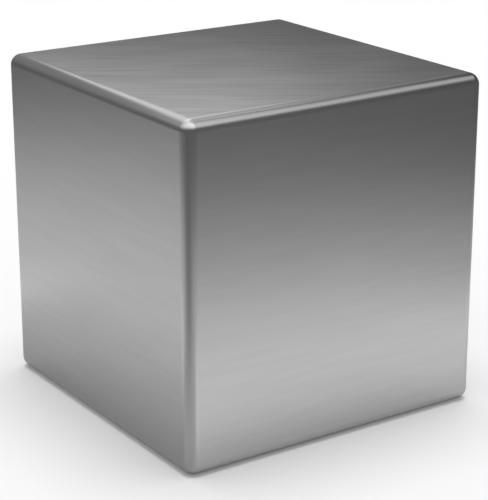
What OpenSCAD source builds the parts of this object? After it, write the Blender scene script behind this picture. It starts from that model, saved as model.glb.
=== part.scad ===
// A solid tungsten cube with rounded edges and corners.
// The origin is at the centre of the face that it rests on, with +Z up.

/* [Cube] */
// Length of a side, from one face to the opposite face
side = 38.1; // [25.4:0.1:101.6]

/* [Edges] */
// Radius of every edge and corner
edge_r = 1.3; // [0.4:0.05:3]

/* [Finish] */
// Shade of the ground metal, from black at 0 to white at 1
metal_shade = 0.56; // [0.3:0.01:0.8]

/* [Hidden] */

// The flat of each face ends this far from its middle, where the edge's round starts
flat_end = side / 2 - edge_r;
flat = 2 * flat_end;
// Facets of each round's full circle
round_facets = 64;

// Three slabs that cross at the middle: each holds the flats of two opposite faces
module slabs() {
    cube([side, flat, flat], center = true);
    cube([flat, side, flat], center = true);
    cube([flat, flat, side], center = true);
}

// The rounds of the four edges that run along Z
module upright_edges() {
    for (x = [-flat_end, flat_end], y = [-flat_end, flat_end])
        translate([x, y, 0])
            cylinder(r = edge_r, h = flat, center = true, $fn = round_facets);
}

// A ball at each of the eight corners
module corners() {
    for (x = [-flat_end, flat_end], y = [-flat_end, flat_end], z = [-flat_end, flat_end])
        translate([x, y, z])
            sphere(r = edge_r, $fn = round_facets);
}

module tungsten_cube() {
    color([metal_shade, metal_shade, metal_shade])
        translate([0, 0, side / 2])
            union() {
                slabs();
                upright_edges();
                rotate([90, 0, 0])
                    upright_edges();
                rotate([0, 90, 0])
                    upright_edges();
                corners();
            }
}

tungsten_cube();
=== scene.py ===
"""A solid ground tungsten cube with rounded edges, on a pale studio floor."""

import math

import bmesh
import bpy
from mathutils import Matrix, Vector


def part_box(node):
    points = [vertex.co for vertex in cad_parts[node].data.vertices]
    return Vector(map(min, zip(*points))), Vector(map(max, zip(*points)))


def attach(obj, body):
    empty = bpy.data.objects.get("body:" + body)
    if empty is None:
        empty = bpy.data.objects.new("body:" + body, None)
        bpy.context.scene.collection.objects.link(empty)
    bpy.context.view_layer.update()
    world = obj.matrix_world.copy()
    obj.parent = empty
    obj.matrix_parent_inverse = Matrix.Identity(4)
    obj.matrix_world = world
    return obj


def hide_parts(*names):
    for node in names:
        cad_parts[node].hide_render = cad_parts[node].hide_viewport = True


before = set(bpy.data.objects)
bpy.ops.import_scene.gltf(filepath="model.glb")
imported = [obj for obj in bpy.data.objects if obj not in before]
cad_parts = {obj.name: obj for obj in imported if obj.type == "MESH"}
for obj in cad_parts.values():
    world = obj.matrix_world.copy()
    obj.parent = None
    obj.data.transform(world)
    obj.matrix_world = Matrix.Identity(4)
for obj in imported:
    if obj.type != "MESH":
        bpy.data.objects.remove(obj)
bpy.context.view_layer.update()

bl_info = {
    "name": "Tungsten cube",
    "version": (1, 0, 0),
    "blender": (4, 5, 0),
    "location": "3D View > Sidebar > Tungsten cube",
    "description": "Builds a ground tungsten cube with rounded edges, and a plain studio for it",
    "category": "Object",
}

LOW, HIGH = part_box("tungsten_cube")
SIDE = HIGH.z - LOW.z
MIDDLE = (LOW + HIGH) / 2
STAND = Vector((MIDDLE.x, MIDDLE.y, LOW.z))
MM = 0.001
UP = Vector((0, 0, 1))
WHITE = (1.0, 1.0, 1.0, 1.0)
GRAIN_MAP = "grain"
WORN = "worn"
LINED = "lined"


# ---------------------------------------------------------------- settings

class CubeSettings(bpy.types.PropertyGroup):
    """Sizes and finish of the cube."""

    edge_radius: bpy.props.FloatProperty(
        name="Edge radius",
        description="Radius of every edge and corner",
        default=1.3 * MM, min=0.4 * MM, max=3.0 * MM, precision=5, unit="LENGTH")
    metal_colour: bpy.props.FloatVectorProperty(
        name="Metal",
        description="Colour that the bare metal reflects straight on",
        default=(0.54, 0.54, 0.54), min=0.0, max=1.0, size=3, subtype="COLOR")
    roughness: bpy.props.FloatProperty(
        name="Roughness",
        description="Roughness of the ground faces",
        default=0.283, min=0.05, max=0.8, subtype="FACTOR")
    line_depth: bpy.props.FloatProperty(
        name="Grinding lines",
        description="Depth of the grinding lines",
        default=0.0004 * MM, min=0.0, max=0.01 * MM, precision=7, unit="LENGTH")
    top_turn: bpy.props.FloatProperty(
        name="Turn of the top's lines",
        description="Angle of the grinding lines on the top, from its front edge",
        default=math.radians(-34.0), subtype="ANGLE")


class StudioSettings(bpy.types.PropertyGroup):
    """Viewpoint, floor and light of the studio."""

    view_round: bpy.props.FloatProperty(
        name="View round",
        description="Angle of the camera round the cube, from the front",
        default=math.radians(-34.0), subtype="ANGLE")
    view_above: bpy.props.FloatProperty(
        name="View above",
        description="Angle of the camera above the horizon",
        default=math.radians(18.6), subtype="ANGLE")
    view_sides: bpy.props.FloatProperty(
        name="View distance",
        description="Distance from the camera to the cube's middle, in sides of the cube",
        default=5.24, min=2.0, max=20.0)
    lens: bpy.props.FloatProperty(
        name="Lens",
        description="Focal length of the camera, in millimetres",
        default=126.0, min=20.0, max=300.0, unit="CAMERA")
    floor_colour: bpy.props.FloatVectorProperty(
        name="Floor",
        description="Colour of the pale floor",
        default=(0.9, 0.9, 0.9), min=0.0, max=1.0, size=3, subtype="COLOR")
    floor_lift: bpy.props.FloatProperty(
        name="Floor lift",
        description="How far the floor's look is lifted towards white",
        default=0.1, min=0.0, max=1.0, subtype="FACTOR")
    sky_level: bpy.props.FloatProperty(
        name="Sky",
        description="How bright the even light from all round is",
        default=0.5, min=0.0, max=1.0, subtype="FACTOR")
    lamp_strength: bpy.props.FloatProperty(
        name="Lamp",
        description="Strength of the soft lamp overhead, in watts per square metre",
        default=1.92, min=0.0, max=10.0)
    lamp_width: bpy.props.FloatProperty(
        name="Lamp width",
        description="Angle that the lamp fills: a wide lamp has a soft shadow",
        default=math.radians(40), subtype="ANGLE")
    lamp_tilt: bpy.props.FloatProperty(
        name="Lamp tilt",
        description="How far the lamp stands from overhead, towards the right and the back",
        default=math.radians(3), subtype="ANGLE")


# ---------------------------------------------------------------- block

def make_thing(bm, name, material, place):
    """Turns a finished shape into an object of the scene, with its material."""
    mesh = bpy.data.meshes.new(name)
    bm.to_mesh(mesh)
    bm.free()
    mesh.materials.append(material)
    thing = bpy.data.objects.new(name, mesh)
    thing.location = place
    bpy.context.scene.collection.objects.link(thing)
    return thing


def outward(point, radius):
    """Which way the surface faces at this point of a cube round the origin."""
    core = SIDE / 2 - radius
    inner = Vector([max(-core, min(core, part)) for part in point])
    return (point - inner).normalized()


def block_mesh(radius):
    """The cube's surface: six flats, twelve rounded edges and eight round corners."""
    arc_steps = 12
    bm = bmesh.new()
    bmesh.ops.create_cube(bm, size=SIDE)
    bmesh.ops.bevel(
        bm, geom=bm.edges[:], affect="EDGES", offset_type="OFFSET",
        offset=radius, segments=arc_steps, profile=0.5)
    bmesh.ops.recalc_face_normals(bm, faces=bm.faces[:])
    return bm


def grain_direction(side, top_turn):
    """Which way the grinding lines run on the flat, edge or corner on this side."""
    if side.x and side.y and not side.z:
        return UP
    if side == UP:
        return Vector((math.cos(top_turn), math.sin(top_turn), 0))
    if side == -UP:
        return Vector((1, 0, 0))
    return UP.cross(side).normalized()


def lay_grain(bm, radius, top_turn):
    """Maps each surface in millimetres: U along its grinding lines and V across them."""
    grain = bm.loops.layers.uv.new(GRAIN_MAP)
    core = SIDE / 2 - radius
    apart = 137.0
    # Gives each of the 26 surfaces a start of its own, so that no two have the same lines
    weights = (1, 3, 9)
    for face in bm.faces:
        middle = face.calc_center_median()
        side = Vector([math.copysign(abs(part) > core, part) for part in middle])
        along = grain_direction(side, top_turn)
        across = side.normalized().cross(along)
        start = apart * side.dot(weights)
        for loop in face.loops:
            point = loop.vert.co / MM
            loop[grain].uv = (point.dot(along) + start, point.dot(across))


def mark_wear(bm, radius):
    """Stores how worn each point is: 0 on a flat and 1 along the middle of an edge."""
    worn = bm.verts.layers.float.new(WORN)
    middle = 1 - math.cos(math.radians(45))
    for vertex in bm.verts:
        turned = 1 - max(abs(part) for part in outward(vertex.co, radius))
        vertex[worn] = min(1.0, turned / middle)


def mark_lines(bm):
    """Stores how strong the grinding lines are: they are strong only on the top and the base."""
    lined = bm.faces.layers.float.new(LINED)
    strong, faint = 1.0, 0.17
    nearly_level = 0.999
    for face in bm.faces:
        face[lined] = strong if abs(face.normal.z) > nearly_level else faint


def build_block(settings):
    """The whole cube as one mesh piece."""
    radius = settings.edge_radius
    bm = block_mesh(radius)
    lay_grain(bm, radius, settings.top_turn)
    mark_wear(bm, radius)
    mark_lines(bm)
    bmesh.ops.translate(bm, verts=bm.verts[:], vec=MIDDLE)
    block = make_thing(bm, "ground_cube", ground_tungsten(settings), place=(0, 0, 0))
    block.data.shade_smooth()
    block.data.normals_split_custom_set_from_vertices(
        [outward(vertex.co - MIDDLE, radius) for vertex in block.data.vertices])
    return block


# ---------------------------------------------------------------- finish

class Nodes:
    """A short way to add and join the nodes of one material or world."""

    def __init__(self, owner):
        owner.use_nodes = True
        self.tree = owner.node_tree
        self.tree.nodes.clear()

    def add(self, kind, inputs=None, **fields):
        node = self.tree.nodes.new(kind)
        for name, value in fields.items():
            setattr(node, name, value)
        for name, value in (inputs or {}).items():
            if isinstance(value, bpy.types.NodeSocket):
                self.tree.links.new(value, node.inputs[name])
            else:
                node.inputs[name].default_value = value
        return node

    def math(self, operation, *values):
        node = self.add("ShaderNodeMath", dict(enumerate(values)), operation=operation)
        return node.outputs[0]

    def total(self, first, *others):
        """The sum of several values."""
        for other in others:
            first = self.math("ADD", first, other)
        return first

    def product(self, first, *others):
        """Several values multiplied together."""
        for other in others:
            first = self.math("MULTIPLY", first, other)
        return first

    def spread(self, value, low, high, start=0.0, end=1.0):
        """Maps a value from start..end to low..high."""
        node = self.add("ShaderNodeMapRange", {
            "Value": value, "From Min": start, "From Max": end, "To Min": low, "To Max": high})
        return node.outputs["Result"]

    def ease(self, value, start, end, low=0.0, high=1.0):
        """Maps a value from start..end to low..high, with a gentle start and end."""
        node = self.add("ShaderNodeMapRange", {
            "Value": value, "From Min": start, "From Max": end, "To Min": low, "To Max": high},
            interpolation_type="SMOOTHSTEP")
        return node.outputs["Result"]

    def along(self, place, direction):
        """How far a place lies along a direction."""
        node = self.add("ShaderNodeVectorMath", {0: place, 1: direction}, operation="DOT_PRODUCT")
        return node.outputs["Value"]

    def looked_at(self):
        """1 for a ray from the camera, and for one that metal or glass turns; 0 for other light."""
        path = self.add("ShaderNodeLightPath").outputs
        looks = self.total(path["Is Camera Ray"], path["Is Transmission Ray"], path["Is Glossy Ray"])
        return self.math("MINIMUM", looks, 1.0)

    def noise(self, vector, detail):
        """A cloudy noise from 0 to 1, most of it between 0.3 and 0.7."""
        node = self.add("ShaderNodeTexNoise", {
            "Vector": vector, "Scale": 1.0, "Detail": detail, "Roughness": 0.5},
            noise_dimensions="2D")
        return node.outputs["Fac"]

    def dimmed(self, cover, to):
        """1 where there is no cover, down to this level where the cover is full."""
        return self.spread(cover, 1.0, to)

    def waver(self, noise, amount):
        """Turns a noise into a value that wavers by this amount to either side of 0."""
        return self.spread(noise, -amount, amount, start=0.3, end=0.7)


def grinding_lines(nodes, place, length, width, turn=0.0, detail=0.0):
    """Straight lines of about this length and width, in millimetres."""
    stretched = nodes.add("ShaderNodeMapping", vector_type="TEXTURE")
    nodes.tree.links.new(place, stretched.inputs["Vector"])
    stretched.inputs["Rotation"].default_value = (0.0, 0.0, math.radians(turn))
    stretched.inputs["Scale"].default_value = (length, width, 1.0)
    return nodes.noise(stretched.outputs["Vector"], detail)


def ground_tungsten(settings):
    """Bare ground metal: fine straight lines, broad passes, and slightly duller worn edges."""
    line_shade = 0.1
    pass_shade = 0.055
    unevenness = 0.006
    edge_dulling = 0.01

    material = bpy.data.materials.new("ground_tungsten")
    nodes = Nodes(material)
    place = nodes.add("ShaderNodeUVMap", uv_map=GRAIN_MAP).outputs["UV"]
    worn = nodes.add("ShaderNodeAttribute", attribute_name=WORN).outputs["Fac"]
    lined = nodes.add("ShaderNodeAttribute", attribute_name=LINED).outputs["Fac"]

    fine = grinding_lines(nodes, place, length=5.0, width=0.26)
    medium = grinding_lines(nodes, place, length=9.0, width=0.6, turn=0.4)
    passes = grinding_lines(nodes, place, length=36.0, width=2.4, turn=-0.5, detail=1.0)
    patches = nodes.add("ShaderNodeMapping", {"Vector": place, "Scale": (0.09, 0.13, 1.0)})
    cloud = nodes.noise(patches.outputs["Vector"], detail=2.0)
    fine_share = nodes.product(lined, 0.5)
    lines = nodes.spread(fine_share, medium, fine)

    shade = nodes.total(nodes.waver(lines, line_shade), nodes.waver(passes, pass_shade))
    colour = nodes.add("ShaderNodeHueSaturation", {
        "Color": [*settings.metal_colour, 1.0],
        "Value": nodes.total(nodes.product(shade, lined), 1.0)})
    rough = nodes.total(
        nodes.spread(worn, settings.roughness, settings.roughness + edge_dulling),
        nodes.spread(medium, -unevenness, unevenness),
        nodes.spread(cloud, -unevenness, unevenness))
    bump = nodes.add("ShaderNodeBump", {
        "Height": lines, "Distance": settings.line_depth, "Strength": lined})
    along_lines = nodes.add("ShaderNodeTangent", direction_type="UV_MAP", uv_map=GRAIN_MAP)

    # A quarter turn stretches the reflections across the lines
    metal = nodes.add("ShaderNodeBsdfPrincipled", {
        "Base Color": colour.outputs["Color"],
        "Metallic": 1.0,
        "Roughness": rough,
        "Anisotropic": 0.3,
        "Anisotropic Rotation": 0.25,
        "Normal": bump.outputs["Normal"],
        "Tangent": along_lines.outputs["Tangent"]})
    nodes.add("ShaderNodeOutputMaterial", {"Surface": metal.outputs["BSDF"]})
    return material


# ---------------------------------------------------------------- studio

def set_camera(settings):
    """A camera that looks at the cube from the front left, from a little above."""
    data = bpy.data.cameras.new("camera")
    data.lens = settings.lens
    camera = bpy.data.objects.new("camera", data)
    bpy.context.scene.collection.objects.link(camera)
    level = math.cos(settings.view_above)
    back = Vector((
        math.sin(settings.view_round) * level,
        -math.cos(settings.view_round) * level,
        math.sin(settings.view_above)))
    turn = back.to_track_quat("Z", "Y")
    # It aims a little to the right of the cube's middle, and a little below it
    aim_right, aim_up = 0.013 * SIDE, -0.070 * SIDE
    aim = MIDDLE + turn @ Vector((aim_right, aim_up, 0))
    stand = aim + back * settings.view_sides * SIDE
    camera.matrix_world = Matrix.Translation(stand) @ turn.to_matrix().to_4x4()
    data.clip_start = 0.1 * SIDE
    data.clip_end = 1000 * SIDE
    bpy.context.scene.camera = camera
    return camera


def floor_material(settings):
    """A plain pale floor, a little lifted towards white where it is looked at."""
    material = bpy.data.materials.new("pale_floor")
    nodes = Nodes(material)
    paint = nodes.add("ShaderNodeBsdfDiffuse", {"Color": [*settings.floor_colour, 1.0]})
    white = nodes.add("ShaderNodeEmission", {"Color": WHITE, "Strength": 1.0})
    shown = nodes.add("ShaderNodeMixShader", {
        "Fac": nodes.product(nodes.looked_at(), settings.floor_lift),
        1: paint.outputs["BSDF"],
        2: white.outputs["Emission"]})
    nodes.add("ShaderNodeOutputMaterial", {"Surface": shown.outputs["Shader"]})
    return material


def build_floor(settings):
    """A wide floor at the height of the cube's base."""
    reach = 400 * SIDE
    bm = bmesh.new()
    bmesh.ops.create_grid(bm, x_segments=1, y_segments=1, size=reach)
    return make_thing(bm, "floor", floor_material(settings), STAND)


# ---------------------------------------------------------------- screen

# The screen's radius and height, in sides of the cube
SCREEN_RADIUS = 1.6
SCREEN_HEIGHT = 12.0


class ScreenNodes(Nodes):
    """The nodes of the screen's material, whose glow is painted light and shade for the metal to
    reflect.

    Heights on the screen are in sides of the cube, from the floor. Bearings are in degrees,
    clockwise from straight behind the cube, and a level of 1 is white.
    """

    def __init__(self, owner):
        super().__init__(owner)
        self.place = self.add("ShaderNodeTexCoord").outputs["Object"]
        self.height = self.along(self.place, UP / SIDE)

    def towards(self, bearing):
        """1 on the screen at this bearing, and -1 straight across from it."""
        turn = math.radians(bearing)
        direction = Vector((math.sin(turn), math.cos(turn), 0))
        return self.along(self.place, direction / (SCREEN_RADIUS * SIDE))

    def tilt(self, bearing, near, far):
        """Runs evenly from near, at this bearing, to far, straight across from it."""
        return self.spread(self.towards(bearing), far, near, start=-1.0)

    def card(self, bearing, half_width, plain=0.0, full=1.0):
        """Full at the middle of a soft painted patch at this bearing, and plain past its sides."""
        side = math.cos(math.radians(half_width))
        return self.ease(self.towards(bearing), side, 1.0, plain, full)

    def climb(self, start, end, low=0.0, high=1.0):
        """Low under the height where it starts, and high over the height where it ends."""
        return self.ease(self.height, start, end, low, high)


def screen_foot(nodes):
    """The glowing foot of the screen, its light painted: it glows most at the back left, and painted
    shade dims it at the front left.
    """
    steepness = 2.5
    glow = nodes.tilt(bearing=150, near=0.43, far=0.59)
    reach = nodes.tilt(bearing=150, near=0.37, far=0.556)
    # Painted shade on the foot at the front left
    shade = nodes.card(bearing=-128, half_width=23)
    climbed = nodes.math("POWER", nodes.math("DIVIDE", nodes.height, reach), steepness)
    fade = nodes.math("EXPONENT", nodes.product(climbed, -1.0))
    return nodes.product(glow, nodes.dimmed(shade, to=0.33), fade)


def screen_belt(nodes):
    """The painted dark belt across the middle of the screen, lighter at the back left."""
    upper = nodes.card(bearing=-27, half_width=50, plain=0.084, full=0.272)
    return nodes.climb(start=1.02, end=1.42, low=0.14, high=upper)


def screen_border(nodes, painted_gauze):
    """The height where the painted dark belt ends: two painted dark patches raise it, and the painted
    patch of shade at the back right lowers it.
    """
    slope = nodes.tilt(bearing=110, near=1.75, far=1.44)
    painted_left_dark = nodes.card(bearing=-29, half_width=30, full=0.77)
    painted_right_dark = nodes.card(bearing=89, half_width=21, full=1.72)
    lowered = nodes.product(painted_gauze, -0.24)
    return nodes.total(slope, painted_left_dark, painted_right_dark, lowered)


def screen_head(nodes, painted_gauze):
    """The pale head of the screen, its glow painted: three bright painted patches give the metal its
    highlights, and a painted flag, veil and gauze of shade dim it.
    """
    pale = nodes.climb(start=2.4, end=4.2, low=0.76, high=0.95)
    # Painted highlights: bright patches at the back, the front and the front left, for the top face,
    # the top edges and the near corner to reflect
    back = nodes.card(bearing=-1, half_width=50, plain=pale, full=1.52)
    front = nodes.card(bearing=187, half_width=20, full=0.37)
    left = nodes.product(
        nodes.card(bearing=-140, half_width=80), nodes.climb(start=1.4, end=2.1, high=0.62))
    # Painted shade: a flag, a veil and a gauze that dim the head
    painted_flag = nodes.product(
        nodes.card(bearing=115, half_width=16), nodes.climb(start=2.51, end=2.91))
    painted_veil = nodes.product(
        nodes.card(bearing=3, half_width=40), nodes.climb(start=2.37, end=3.26, low=1.0, high=0.0))
    return nodes.product(
        nodes.total(back, front, left),
        nodes.dimmed(painted_flag, to=0.02),
        nodes.dimmed(painted_veil, to=0.65),
        nodes.dimmed(painted_gauze, to=0.37))


def screen_material():
    """A screen that glows with painted light and shade for the metal to reflect: bright at its foot,
    dark across its middle, and pale above a soft border.
    """
    material = bpy.data.materials.new("painted_reflection_screen")
    nodes = ScreenNodes(material)
    # A painted patch of shade at the back right: it softens and lowers the border and dims the head
    painted_gauze = nodes.card(bearing=60, half_width=15)
    softness = nodes.spread(painted_gauze, low=0.055, high=0.25)
    over = nodes.math("SUBTRACT", nodes.height, screen_border(nodes, painted_gauze))
    above = nodes.ease(over, nodes.product(softness, -1.0), softness)
    lower = nodes.total(screen_foot(nodes), screen_belt(nodes))
    level = nodes.spread(above, lower, screen_head(nodes, painted_gauze))
    glow = nodes.add("ShaderNodeEmission", {"Color": WHITE, "Strength": level})
    nodes.add("ShaderNodeOutputMaterial", {"Surface": glow.outputs["Emission"]})
    return material


def reflected_only(thing):
    """Shows a thing of the studio in the metal, and nowhere else."""
    thing.visible_camera = False
    thing.visible_diffuse = False
    thing.visible_shadow = False
    thing.visible_transmission = False
    return thing


def build_screen():
    """A round screen of painted glow and shade that stands about the cube, for the metal to reflect;
    it is no lamp.
    """
    steps = 96
    radius = SCREEN_RADIUS * SIDE
    height = SCREEN_HEIGHT * SIDE
    bm = bmesh.new()
    bmesh.ops.create_cone(
        bm, cap_ends=False, segments=steps, radius1=radius, radius2=radius, depth=height)
    bmesh.ops.translate(bm, verts=bm.verts[:], vec=(0, 0, height / 2))
    return reflected_only(make_thing(bm, "screen", screen_material(), STAND))


def painted_shadow_sheet_material():
    """A clear sheet with three soft patches of painted shadow, which darken the floor that the metal
    reflects. Places on it are in sides of the cube.
    """
    material = bpy.data.materials.new("painted_shadow_sheet")
    nodes = Nodes(material)
    place = nodes.add("ShaderNodeTexCoord").outputs["Object"]
    left = nodes.along(place, Vector((-1, 0, 0)) / SIDE)
    ahead = nodes.along(place, Vector((0, -1, 0)) / SIDE)
    # Painted shadow beside the left face, in front of the front face and off the front left corner
    left_painted_shadow = nodes.product(
        nodes.ease(left, 0.42, 0.56),
        nodes.ease(left, 0.5, 1.6, low=1.0, high=0.0),
        nodes.ease(ahead, -1.29, -0.78))
    front_painted_shadow = nodes.product(
        nodes.ease(left, 0.42, 0.62, low=1.0, high=0.0),
        nodes.ease(ahead, 0.5, 0.85, low=1.0, high=0.0))
    corner_painted_shadow = nodes.product(
        nodes.ease(left, 0.6, 1.26),
        nodes.ease(ahead, 0.09, 0.29))
    # How much of the reflected floor the painted shadows let through
    clear = nodes.product(
        nodes.dimmed(left_painted_shadow, to=0.56),
        nodes.dimmed(front_painted_shadow, to=0.76),
        nodes.dimmed(corner_painted_shadow, to=0.54))
    painted_shadow_tint = nodes.add("ShaderNodeCombineColor", {"Red": clear, "Green": clear, "Blue": clear})
    sheet = nodes.add("ShaderNodeBsdfTransparent", {"Color": painted_shadow_tint.outputs["Color"]})
    nodes.add("ShaderNodeOutputMaterial", {"Surface": sheet.outputs["BSDF"]})
    return material


def build_painted_shadow_sheet():
    """A thin clear sheet on the floor, seen only in the metal, that paints shadow into the reflected
    floor at the cube's left and front.
    """
    inner = -0.42 * SIDE
    outer = SCREEN_RADIUS * SIDE
    clearance = 0.01 * MM
    outline = (
        (-outer, -outer), (outer, -outer), (outer, inner),
        (inner, inner), (inner, outer), (-outer, outer))
    bm = bmesh.new()
    bm.faces.new([bm.verts.new((x, y, clearance)) for x, y in outline])
    return reflected_only(make_thing(bm, "painted_shadow_sheet", painted_shadow_sheet_material(), STAND))


# ---------------------------------------------------------------- light

def light_studio(settings):
    """A plain even sky that looks white, with one wide soft lamp."""
    world = bpy.data.worlds.new("studio")
    bpy.context.scene.world = world
    nodes = Nodes(world)
    plain = [settings.sky_level] * 3 + [1.0]
    colour = nodes.add("ShaderNodeMixRGB", {
        "Fac": nodes.looked_at(), "Color1": plain, "Color2": WHITE})
    air = nodes.add("ShaderNodeBackground", {"Color": colour.outputs["Color"], "Strength": 1.0})
    nodes.add("ShaderNodeOutputWorld", {"Surface": air.outputs["Background"]})

    data = bpy.data.lights.new("overhead_lamp", "SUN")
    data.energy = settings.lamp_strength
    data.angle = settings.lamp_width
    lamp = bpy.data.objects.new("overhead_lamp", data)
    bpy.context.scene.collection.objects.link(lamp)
    lamp.rotation_euler = (-settings.lamp_tilt, settings.lamp_tilt, 0)
    lamp.visible_glossy = False
    return lamp


# ---------------------------------------------------------------- operators

class CUBE_OT_camera(bpy.types.Operator):
    """Set the camera in front of the cube."""

    bl_idname = "tungsten_cube.camera"
    bl_label = "Camera"

    def execute(self, context):
        set_camera(context.scene.studio)
        return {"FINISHED"}


class CUBE_OT_block(bpy.types.Operator):
    """Build the ground cube."""

    bl_idname = "tungsten_cube.block"
    bl_label = "Cube"

    def execute(self, context):
        block = build_block(context.scene.cube)
        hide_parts("tungsten_cube")
        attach(block, "root")
        return {"FINISHED"}


class CUBE_OT_studio(bpy.types.Operator):
    """Build the floor, the screen of painted reflections, the sheet of painted shadow and the light.
    """

    bl_idname = "tungsten_cube.studio"
    bl_label = "Studio"

    def execute(self, context):
        build_floor(context.scene.studio)
        build_screen()
        build_painted_shadow_sheet()
        light_studio(context.scene.studio)
        context.scene.view_settings.view_transform = "Standard"
        return {"FINISHED"}


class CUBE_PT_panel(bpy.types.Panel):
    """Lists the steps that build the cube and its studio."""

    bl_idname = "CUBE_PT_panel"
    bl_label = "Tungsten cube"
    bl_space_type = "VIEW_3D"
    bl_region_type = "UI"
    bl_category = "Tungsten cube"

    def draw(self, context):
        layout = self.layout
        for group in (context.scene.cube, context.scene.studio):
            box = layout.box()
            for name in group.__annotations__:
                box.prop(group, name)
        for operator in OPERATORS:
            layout.operator(operator.bl_idname)


OPERATORS = (CUBE_OT_camera, CUBE_OT_block, CUBE_OT_studio)
CLASSES = (CubeSettings, StudioSettings, *OPERATORS, CUBE_PT_panel)


def register():
    for cls in CLASSES:
        bpy.utils.register_class(cls)
    bpy.types.Scene.cube = bpy.props.PointerProperty(type=CubeSettings)
    bpy.types.Scene.studio = bpy.props.PointerProperty(type=StudioSettings)


def unregister():
    del bpy.types.Scene.studio
    del bpy.types.Scene.cube
    for cls in reversed(CLASSES):
        bpy.utils.unregister_class(cls)


def main():
    register()
    bpy.ops.tungsten_cube.camera()
    bpy.ops.tungsten_cube.block()
    bpy.ops.tungsten_cube.studio()


if __name__ == "__main__":
    main()
